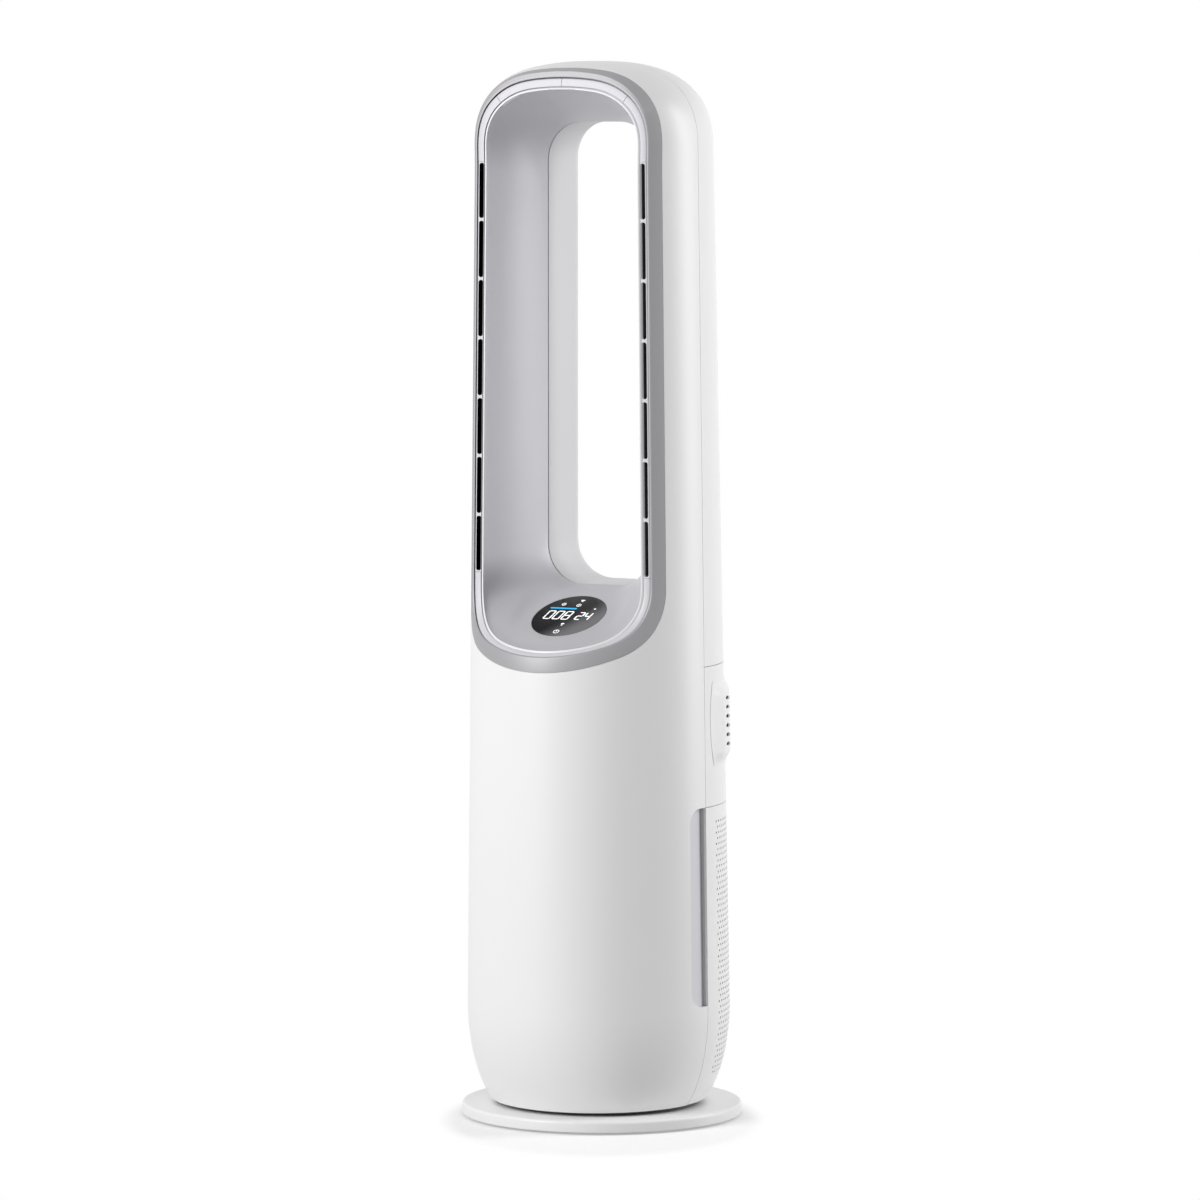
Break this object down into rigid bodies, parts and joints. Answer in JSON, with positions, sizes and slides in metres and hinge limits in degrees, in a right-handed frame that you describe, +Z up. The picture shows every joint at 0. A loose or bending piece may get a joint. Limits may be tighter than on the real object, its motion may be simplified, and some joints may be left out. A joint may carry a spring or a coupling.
{
  "type": "tower fan",
  "caption": "Tall bladeless tower fan: a rounded loop with slotted air outlets and a round display, over a filter and fan body that turns on a weighted base disc.",
  "frame": {"origin": "centre of the base disc on the floor", "axes": "+Z up along the turning axis, -Y towards the front with the loop's ring and the display, +X to the side with the sensor cover"},
  "size_m": [0.28, 0.28, 1.0499],
  "materials": {
    "base_plate": "satin",
    "rubber_feet": "matte",
    "ballast_ring": "matte",
    "base_cover": "satin",
    "ring_gear": "satin",
    "pivot_post": "satin",
    "pivot_retainer": "satin",
    "slide_ring": "satin",
    "base_screws": "satin",
    "cord_gland": "matte",
    "turntable": "matte",
    "chassis": "satin",
    "fan_deck": "satin",
    "front_casing": "satin",
    "rear_casing": "satin",
    "rear_duct": "satin",
    "middle_panel": "satin",
    "ring_trim": "metallic satin",
    "duct_liner": "metallic satin",
    "outlet_left": "satin",
    "outlet_right": "satin",
    "filler_top": "satin",
    "filler_bottom": "satin",
    "display_glass": "polished",
    "display_board": "satin",
    "grip_liner_left": "satin",
    "grip_liner_right": "satin",
    "inlet_bell": "satin",
    "fan_housing": "satin",
    "diffuser": "satin",
    "motor": "satin",
    "motor_isolators": "matte",
    "air_splitter": "satin",
    "main_board": "satin",
    "board_parts": "satin",
    "particle_sensor": "satin",
    "stepper_motor": "satin",
    "casing_screws": "satin",
    "fan_screws": "satin",
    "drive_pinion": "satin",
    "impeller": "satin",
    "motor_shaft": "polished",
    "impeller_nut": "satin",
    "filter_cover": "satin",
    "filter_frame": "satin",
    "filter_pleats": "matte",
    "carbon_layer": "matte",
    "filter_tab": "matte",
    "sensor_cover": "satin"
  },
  "bodies": {
    "base": {"base_plate": "base_plate", "rubber_feet": "rubber_feet", "ballast_ring": "ballast_ring", "base_cover": "base_cover", "ring_gear": "ring_gear", "pivot_post": "pivot_post", "pivot_retainer": "pivot_retainer", "slide_ring": "slide_ring", "base_screws": "base_screws", "cord_gland": "cord_gland"},
    "tower": {"turntable": "turntable", "chassis": "chassis", "fan_deck": "fan_deck", "front_casing": "front_casing", "rear_casing": "rear_casing", "rear_duct": "rear_duct", "middle_panel": "middle_panel", "ring_trim": "ring_trim", "duct_liner": "duct_liner", "outlet_left": "outlet_left", "outlet_right": "outlet_right", "filler_top": "filler_top", "filler_bottom": "filler_bottom", "display_glass": "display_glass", "display_board": "display_board", "grip_liner_left": "grip_liner_left", "grip_liner_right": "grip_liner_right", "inlet_bell": "inlet_bell", "fan_housing": "fan_housing", "diffuser": "diffuser", "motor": "motor", "motor_isolators": "motor_isolators", "air_splitter": "air_splitter", "main_board": "main_board", "board_parts": "board_parts", "particle_sensor": "particle_sensor", "stepper_motor": "stepper_motor", "casing_screws": "casing_screws", "fan_screws": "fan_screws"},
    "pinion": {"drive_pinion": "drive_pinion"},
    "rotor": {"impeller": "impeller", "motor_shaft": "motor_shaft", "impeller_nut": "impeller_nut"},
    "cover": {"filter_cover": "filter_cover"},
    "filter": {"filter_frame": "filter_frame", "filter_pleats": "filter_pleats", "carbon_layer": "carbon_layer", "filter_tab": "filter_tab"},
    "sensor_lid": {"sensor_cover": "sensor_cover"}
  },
  "joints": [
    {"name": "tower_oscillation", "type": "hinge", "parent": "base", "child": "tower", "pos_m": [0, 0, 0.0155], "axis": [0, 0, 1], "range_deg": [-175, 175]},
    {"name": "pinion_spin", "type": "hinge", "parent": "tower", "child": "pinion", "pos_m": [0, 0.039, 0.0075], "axis": [0, 0, 1], "range_deg": [-934, 934]},
    {"name": "impeller_spin", "type": "hinge", "parent": "tower", "child": "rotor", "pos_m": [0, -0.008, 0.36], "axis": [0, 0, 1], "continuous": true},
    {"name": "filter_cover_pull", "type": "slide", "parent": "tower", "child": "cover", "axis": [0, 1, 0], "range_m": [0, 0.18]},
    {"name": "filter_pull", "type": "slide", "parent": "tower", "child": "filter", "axis": [0, 1, 0], "range_m": [0, 0.108]},
    {"name": "sensor_cover_pull", "type": "slide", "parent": "tower", "child": "sensor_lid", "axis": [0.848, 0.5299, 0], "range_m": [0, 0.025]}
  ],
  "couplings": [
    {"joint": "pinion_spin", "follows": "tower_oscillation", "ratio": -5.3333},
    {"joint": "filter_pull", "follows": "filter_cover_pull", "ratio": 0.6}
  ]
}
